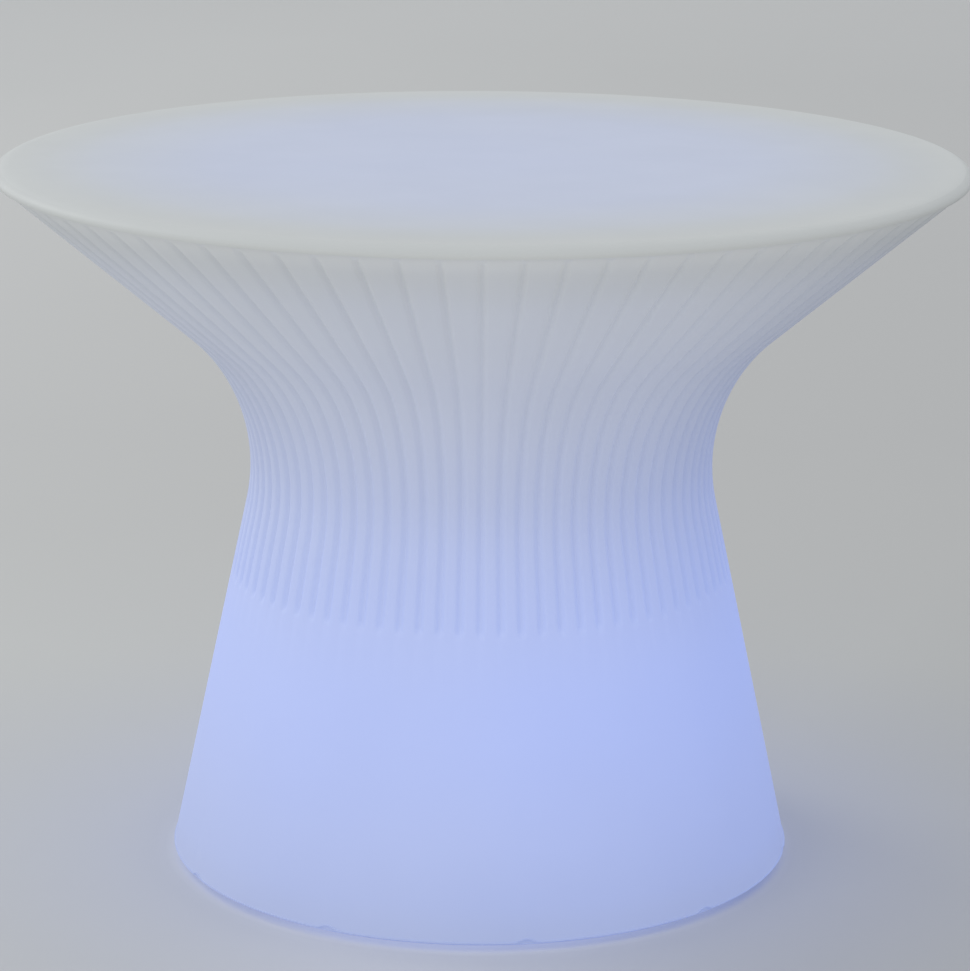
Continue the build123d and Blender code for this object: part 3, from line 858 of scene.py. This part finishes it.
def tint_group():
    """Uneven colour: a base colour with broad cloudy patches of another and a little fine speckle."""
    group, given, out = new_group(
        "uneven_colour",
        [
            ("Colour", "NodeSocketColor", (0.5, 0.5, 0.5, 1)),
            ("Patch Colour", "NodeSocketColor", (0.4, 0.4, 0.4, 1)),
            ("Patch Scale", "NodeSocketFloat", 20.0),
            ("Speckle Scale", "NodeSocketFloat", 400.0),
        ],
        [("Colour", "NodeSocketColor")],
    )
    point = object_point(group)
    patches = ramp(group, noise(group, point, given.outputs["Patch Scale"], detail=4), patch_stops)
    specks = ramp(group, noise(group, point, given.outputs["Speckle Scale"], detail=2), speck_stops)
    amount = maths(group, "MAXIMUM", patches, specks)
    colour = mixed(group, amount, given.outputs["Colour"], given.outputs["Patch Colour"])
    feed(group, out.inputs["Colour"], colour)
    return group


def scuff_group():
    """Short thin scratches in rubbed places, as a mask from 0 to 1."""
    group, given, out = new_group(
        "scuffs",
        [("Scale", "NodeSocketFloat", 60.0), ("Amount", "NodeSocketFloat", 0.5)],
        [("Mask", "NodeSocketFloat")],
    )
    point = object_point(group)
    drawn_out = vector_maths(group, "MULTIPLY", point)
    drawn_out.inputs[1].default_value = scratch_stretch
    streaks = noise(group, drawn_out.outputs["Vector"], given.outputs["Scale"], detail=2)
    lines = ramp(group, streaks, scratch_stops, smooth=False)
    places = ramp(group, noise(group, point, scratched_place_scale, detail=3), scratched_place_stops)
    mask = maths(group, "MULTIPLY", lines, places)
    feed(group, out.inputs["Mask"], maths(group, "MULTIPLY", mask, given.outputs["Amount"]))
    return group


grain = grain_group()
uneven = tint_group()
scuffs = scuff_group()


def placed(shading, group, **values):
    """A node group placed in a material with its own values, named as its inputs with _ for a space."""
    made = shading.node("ShaderNodeGroup", node_tree=group)
    for name, value in values.items():
        feed(shading.tree, made.inputs[name.replace("_", " ")], value)
    return made


def add_bump(shading, height, strength):
    """Feeds a height into the shader's normal through a Bump node."""
    bump = shading.node("ShaderNodeBump")
    bump.inputs["Strength"].default_value = strength
    bump.inputs["Distance"].default_value = grain_height
    shading.link(height, bump.inputs["Height"])
    shading.link(bump.outputs["Normal"], shading.shader.inputs["Normal"])


# Plain finishes by slot: the colour and its patches, how fine the grain is, the values between which the
# roughness wanders, and how strong the bump is
plain_looks = {
    "housing_plastic": dict(
        colour=(0.55, 0.56, 0.56), patch=(0.50, 0.51, 0.52), grain_scale=1400.0,
        roughness=(0.42, 0.6), bump=0.5,
    ),
    "dark_plastic": dict(
        colour=(0.03, 0.03, 0.033), patch=(0.05, 0.05, 0.053), grain_scale=1400.0,
        roughness=(0.35, 0.55), bump=0.4,
    ),
    "opal_plastic": dict(
        colour=(0.72, 0.73, 0.75), patch=(0.68, 0.70, 0.73), grain_scale=900.0,
        roughness=(0.3, 0.42), bump=0.15,
    ),
    "clear_plastic": dict(
        colour=(0.5, 0.56, 0.62), patch=(0.44, 0.5, 0.56), grain_scale=900.0,
        roughness=(0.06, 0.14), bump=0.05,
    ),
    "foot_rubber": dict(
        colour=(0.035, 0.035, 0.036), patch=(0.07, 0.068, 0.065), grain_scale=1100.0,
        roughness=(0.6, 0.85), bump=0.6,
    ),
    "seal_foam": dict(
        colour=(0.05, 0.05, 0.055), patch=(0.08, 0.08, 0.085), grain_scale=2200.0,
        roughness=(0.75, 0.95), bump=1.0,
    ),
    "insert_brass": dict(
        colour=(0.62, 0.42, 0.16), patch=(0.5, 0.33, 0.12), grain_scale=1600.0,
        roughness=(0.22, 0.42), bump=0.2, metallic=1.0,
    ),
    "screw_steel": dict(
        colour=(0.52, 0.52, 0.50), patch=(0.42, 0.42, 0.41), grain_scale=1600.0,
        roughness=(0.25, 0.45), bump=0.2, metallic=1.0,
    ),
    "bezel_metal": dict(
        colour=(0.66, 0.67, 0.68), patch=(0.58, 0.59, 0.6), grain_scale=1600.0,
        roughness=(0.08, 0.2), bump=0.05, metallic=1.0,
    ),
    "plate_aluminium": dict(
        colour=(0.7, 0.7, 0.69), patch=(0.62, 0.62, 0.62), grain_scale=1200.0,
        roughness=(0.3, 0.5), bump=0.2,
    ),
    "contact_nickel": dict(
        colour=(0.6, 0.57, 0.5), patch=(0.5, 0.47, 0.4), grain_scale=1600.0,
        roughness=(0.2, 0.35), bump=0.1, metallic=1.0,
    ),
    "cell_wrap": dict(
        colour=(0.03, 0.12, 0.35), patch=(0.025, 0.1, 0.3), grain_scale=500.0,
        roughness=(0.15, 0.3), bump=0.2,
    ),
    "board_laminate": dict(
        colour=(0.01, 0.12, 0.05), patch=(0.015, 0.17, 0.07), grain_scale=700.0,
        roughness=(0.2, 0.35), bump=0.3,
    ),
    "chip_package": dict(
        colour=(0.8, 0.68, 0.25), patch=(0.75, 0.6, 0.18), grain_scale=1500.0,
        roughness=(0.3, 0.5), bump=0.2,
    ),
    "part_black": dict(
        colour=(0.025, 0.025, 0.027), patch=(0.04, 0.04, 0.042), grain_scale=1500.0,
        roughness=(0.4, 0.6), bump=0.4,
    ),
    "lead_cover": dict(
        colour=(0.06, 0.06, 0.065), patch=(0.09, 0.09, 0.095), grain_scale=1300.0,
        roughness=(0.3, 0.45), bump=0.3,
    ),
}


def plain_finish(name, colour, patch, grain_scale, roughness, bump, metallic=0.0):
    """A moulded or plated finish: uneven colour, grain that changes the gloss and scuffs on top."""
    shading = Shading(name)
    shader = shading.shader
    tint = placed(shading, uneven, Colour=colour, Patch_Colour=patch, Speckle_Scale=grain_scale / 2)
    low, high = roughness
    texture = placed(shading, grain, Scale=grain_scale, Low_Roughness=low, High_Roughness=high)
    worn = placed(shading, scuffs, Scale=scratch_scale, Amount=scratch_amount)
    lighter = tuple(min(1.0, value * scratch_gain + scratch_lift) for value in colour)
    scratched = mixed(shading.tree, worn.outputs["Mask"], tint.outputs["Colour"], lighter)
    shading.link(scratched, shader.inputs["Base Color"])
    shading.link(texture.outputs["Roughness"], shader.inputs["Roughness"])
    shader.inputs["Metallic"].default_value = metallic
    add_bump(shading, texture.outputs["Height"], bump)
    return shading.material


# Milky plastic, lit from inside. Its stops give the light by share of the table's height on the side, and by
# share of its radius on the top. The blue is the inner light. The white is painted light standing in for the
# room's light through the plastic, strongest in a painted fill under the rim's crease. The painted shade on
# the white light dims it at both ends and most at the right; it reads from 0 at the left to 1 at the right.
milk_colour = (0.553, 0.573, 0.565)
milk_patch = (0.533, 0.553, 0.548)
glow_colour = (0.06, 0.20, 1.0)
side_blue_stops = [
    (0.0, 0.27),
    (0.06, 0.35),
    (0.19, 0.42),
    (0.33, 0.48),
    (0.47, 0.38),
    (0.59, 0.25),
    (0.75, 0.09),
    (0.90, 0.06),
    (0.97, 0.0),
]
side_white_stops = [
    (0.04, 0.0),
    (0.14, 0.042),
    (0.33, 0.046),
    (0.59, 0.090),
    (0.75, 0.172),
    (0.89, 0.192),
    (0.958, 0.160),
    (0.9825, 0.255),
    (0.991, 0.055),
    (1.0, 0.04),
]
side_shade_stops = [
    (0.0, 0.5),
    (0.15, 0.85),
    (0.5, 1.06),
    (0.75, 0.94),
    (0.85, 0.76),
    (0.95, 0.42),
    (1.0, 0.25),
]
side_blue_lean = 0.05
top_blue_stops = [(0.0, 0.17), (0.55, 0.155), (0.80, 0.06), (0.92, 0.0)]
top_white_stops = [(0.0, 0.0), (0.6, 0.0), (0.9, 0.022), (0.97, 0.035), (1.0, 0.05)]
top_light_depth = 1 * mm
flute_painted_shade = 0.07
cloud_scale = 7
cloud_span = 0.16
cloud_least = 0.92


def side_light(tree, place, distance):
    """The blue of the inner light through the side, and the painted white light, by height, with painted
    shade on the white from left to right.
    """
    level = maths(tree, "DIVIDE", place["Z"], table_height)
    sideways = maths(tree, "DIVIDE", place["X"], distance)
    from_left = maths(tree, "MULTIPLY_ADD", sideways, 0.5, 0.5)
    blue_lean = maths(tree, "MULTIPLY_ADD", sideways, side_blue_lean, 1.0)
    shade = ramp(tree, from_left, side_shade_stops, smooth=False)
    blue = multiplied(tree, ramp(tree, level, side_blue_stops), blue_lean)
    white = multiplied(tree, ramp(tree, level, side_white_stops), shade)
    return blue, white


def top_light(tree, distance):
    """The blue of the inner light through the top, and the painted white light towards its edge, from its
    middle outwards.
    """
    out_share = maths(tree, "DIVIDE", distance, table_radius)
    return ramp(tree, out_share, top_blue_stops), ramp(tree, out_share, top_white_stops)


def glow_and_painted_light(shading):
    """The inner light and the painted white light through the plastic, a little cloudy, with painted shade in
    the flutes.
    """
    tree = shading.tree
    place, distance = table_place(tree)
    side_blue, side_white = side_light(tree, place, distance)
    top_blue, top_white = top_light(tree, distance)
    on_top = maths(tree, "GREATER_THAN", place["Z"], table_height - top_light_depth)
    blue = mixed(tree, on_top, side_blue, top_blue)
    white = mixed(tree, on_top, side_white, top_white)
    light = added(tree, multiplied(tree, blue, glow_colour), white)
    # Painted shade: the light is dimmed in the flutes by their depth
    groove = shading.node("ShaderNodeAttribute", attribute_name="groove")
    dim = maths(tree, "MULTIPLY_ADD", groove.outputs["Fac"], -flute_painted_shade, 1.0)
    clouds = noise(tree, object_point(tree), cloud_scale, detail=2)
    cloudy = maths(tree, "MULTIPLY_ADD", clouds, cloud_span, cloud_least)
    return multiplied(tree, light, maths(tree, "MULTIPLY", dim, cloudy))


def milky_plastic():
    """Satin milky polyethylene: faint mottling, fine grain, and as its emission the inner light with painted
    light and shade.
    """
    shading = Shading("milky_plastic")
    shader = shading.shader
    tint = placed(
        shading, uneven, Colour=milk_colour, Patch_Colour=milk_patch, Patch_Scale=9.0, Speckle_Scale=160.0
    )
    texture = placed(shading, grain, Scale=650.0, Low_Roughness=0.42, High_Roughness=0.58)
    shading.link(tint.outputs["Colour"], shader.inputs["Base Color"])
    shading.link(texture.outputs["Roughness"], shader.inputs["Roughness"])
    shading.link(glow_and_painted_light(shading), shader.inputs["Emission Color"])
    shader.inputs["Emission Strength"].default_value = 1.0
    shader.inputs["IOR"].default_value = 1.5
    shader.inputs["Specular IOR Level"].default_value = 0.25
    add_bump(shading, texture.outputs["Height"], strength=0.12)
    shading.material.cycles.emission_sampling = "NONE"
    return shading.material


def finishes():
    """One procedural finish for each material slot of the record."""
    made = {"milky_plastic": milky_plastic()}
    for name, look in plain_looks.items():
        made[name] = plain_finish(name, **look)
    return made


def dress():
    """Gives every node of the frame the finish of its own slot."""
    for name, node in frame["nodes"].items():
        finish = finish_of[slot_of[name]]
        if node.material_slots:
            for place in node.material_slots:
                place.material = finish
        else:
            node.data.materials.append(finish)


# The floor's pale colour carries painted light and shade: painted light makes it paler towards the left and
# the back, and painted shade dips it behind the table. Each ramp reads its start plus X and Y times their own
# shares.
painted_falloff_by_x = -0.43
painted_falloff_by_y = 0.18
painted_falloff_start = 0.13
painted_falloff_stops = [(0.0, (0.495, 0.498, 0.493)), (0.08, (0.540, 0.543, 0.537)), (1.0, (0.618, 0.623, 0.612))]
painted_shade_behind_by_y = 0.2
painted_shade_behind_start = 0.1
painted_shade_behind_stops = [
    (0.18, (1.0, 1.0, 0.965)),
    (0.21, (0.97, 0.97, 0.95)),
    (0.26, (0.935, 0.935, 0.93)),
    (0.32, 0.915),
    (0.48, 0.92),
    (0.7, 0.955),
    (0.98, 0.985),
]
floor_patch_darkening = 0.03

# Light painted on the floor: the table's blue pool and the white line of its light under the body's edge, by
# distance from the axis, how that line changes from left to right, and a painted white patch of light in
# front of the base
pool_stops = [(0.19, 0.10), (0.25, 0.075), (0.35, 0.035), (0.5, 0.012), (0.8, 0.0)]
edge_light_stops = [(0.188, 1.0), (0.196, 0.6), (0.202, 0.12), (0.212, 0.0)]
edge_light_by_x = 2.5
edge_light_across_stops = [(0.1, 0.19), (0.25, 0.20), (0.5, 0.19), (0.68, 0.18), (0.84, 0.16), (0.92, 0.12)]
front_light_place = (-0.03, -0.215, 0)
front_light_stops = [(0.0, 0.058), (0.05, 0.05), (0.1, 0.03), (0.16, 0.008), (0.24, 0.0)]


def floor_colour(shading, place):
    """The floor's pale colour with its painted light and shade, a little patchy."""
    tree = shading.tree
    across = maths(tree, "MULTIPLY_ADD", place["X"], painted_falloff_by_x, painted_falloff_start)
    away = maths(tree, "MULTIPLY_ADD", place["Y"], painted_falloff_by_y, across)
    behind = maths(tree, "MULTIPLY_ADD", place["Y"], painted_shade_behind_by_y, painted_shade_behind_start)
    falloff = ramp(tree, away, painted_falloff_stops, smooth=False)
    shade_behind = ramp(tree, behind, painted_shade_behind_stops, smooth=False)
    pale_with_painted_light = multiplied(tree, falloff, shade_behind)
    darker = mixed(tree, floor_patch_darkening, pale_with_painted_light, (0.0, 0.0, 0.0))
    tint = placed(shading, uneven, Colour=pale_with_painted_light, Patch_Colour=darker, Patch_Scale=0.8, Speckle_Scale=3.0)
    return tint.outputs["Colour"]


def floor_light(tree, place, distance):
    """Light painted on the floor: the table's pool and the line under its edge, and a white patch in front of
    the base.
    """
    pool = multiplied(tree, ramp(tree, distance, pool_stops), glow_colour)
    under_edge = ramp(tree, distance, edge_light_stops, smooth=False)
    from_left = maths(tree, "MULTIPLY_ADD", place["X"], edge_light_by_x, 0.5)
    edge_light = multiplied(tree, under_edge, ramp(tree, from_left, edge_light_across_stops, smooth=False))
    from_front = vector_maths(tree, "DISTANCE", object_point(tree))
    from_front.inputs[1].default_value = front_light_place
    front_light = ramp(tree, from_front.outputs["Value"], front_light_stops)
    return added(tree, pool, added(tree, edge_light, front_light))


def clear_from_below(shading):
    """Lets the view through a face that is looked at from behind."""
    clear = shading.node("ShaderNodeBsdfTransparent")
    either = shading.node("ShaderNodeMixShader")
    side = shading.node("ShaderNodeNewGeometry")
    surface = shading.tree.nodes["Material Output"].inputs["Surface"]
    shading.link(side.outputs["Backfacing"], either.inputs[0])
    shading.link(shading.shader.outputs["BSDF"], either.inputs[1])
    shading.link(clear.outputs["BSDF"], either.inputs[2])
    shading.link(either.outputs["Shader"], surface)


def floor_finish():
    """A pale floor with painted light and shade and the table's light painted on it, clear when it is looked
    at from below.
    """
    shading = Shading("studio_floor")
    shader = shading.shader
    place, distance = table_place(shading.tree)
    shading.link(floor_colour(shading, place), shader.inputs["Base Color"])
    shading.link(floor_light(shading.tree, place, distance), shader.inputs["Emission Color"])
    shader.inputs["Emission Strength"].default_value = 1.0
    shader.inputs["Roughness"].default_value = 0.75
    clear_from_below(shading)
    return shading.material


def floor():
    """The floor that the table stands on, wide enough to fill the view behind it."""
    bm = bmesh.new()
    bmesh.ops.create_grid(bm, x_segments=1, y_segments=1, size=floor_half_width)
    piece = finished("floor", bm)
    piece.data.materials.append(floor_finish())


def soft_light(name, place, size, power):
    """A square soft light that faces the table."""
    light = bpy.data.lights.new(name, "AREA")
    light.shape = "SQUARE"
    light.size = size
    light.energy = power
    light.color = daylight_colour
    lamp = bpy.data.objects.new(name, light)
    lamp.location = place
    lamp.rotation_euler = (light_aim - place).to_track_quat("-Z", "Y").to_euler()
    bpy.context.scene.collection.objects.link(lamp)


def studio():
    """The pale room's even light, and two soft windows on the left, before and behind the table."""
    world = bpy.data.worlds.new("pale_room")
    world.use_nodes = True
    back = world.node_tree.nodes["Background"]
    back.inputs["Color"].default_value = (*room_colour, 1)
    back.inputs["Strength"].default_value = room_strength
    bpy.context.scene.world = world
    soft_light("window", window_place, window_size, window_power)
    soft_light("far_window", far_window_place, far_window_size, far_window_power)


def camera():
    """The camera at the photograph's angle."""
    data = bpy.data.cameras.new("camera")
    data.sensor_width = sensor_width
    data.lens = focal_pixels * sensor_width / picture_pixels
    data.shift_x = shift_right_pixels / picture_pixels
    data.shift_y = shift_up_pixels / picture_pixels
    piece = bpy.data.objects.new("camera", data)
    place = Vector((0, -math.cos(camera_elevation), math.sin(camera_elevation))) * camera_distance
    tilt = Matrix.Rotation(math.pi / 2 - camera_elevation, 4, "X")
    roll = Matrix.Rotation(camera_roll, 4, "Z")
    piece.matrix_world = Matrix.Translation(place + Vector((0, 0, camera_target_height))) @ tilt @ roll
    bpy.context.scene.collection.objects.link(piece)
    bpy.context.scene.camera = piece


slot_of = {row["node"]: row["material_slot"] for row in frame["record"]["subparts"]}
finish_of = finishes()
dress()
for maker in (
    table_body, cover_screws, rubber_feet, power_button, button_bezel, button_spring, charge_lens, cap_grips
):
    maker()
floor()
studio()
camera()
bpy.context.scene.view_settings.view_transform = "Standard"
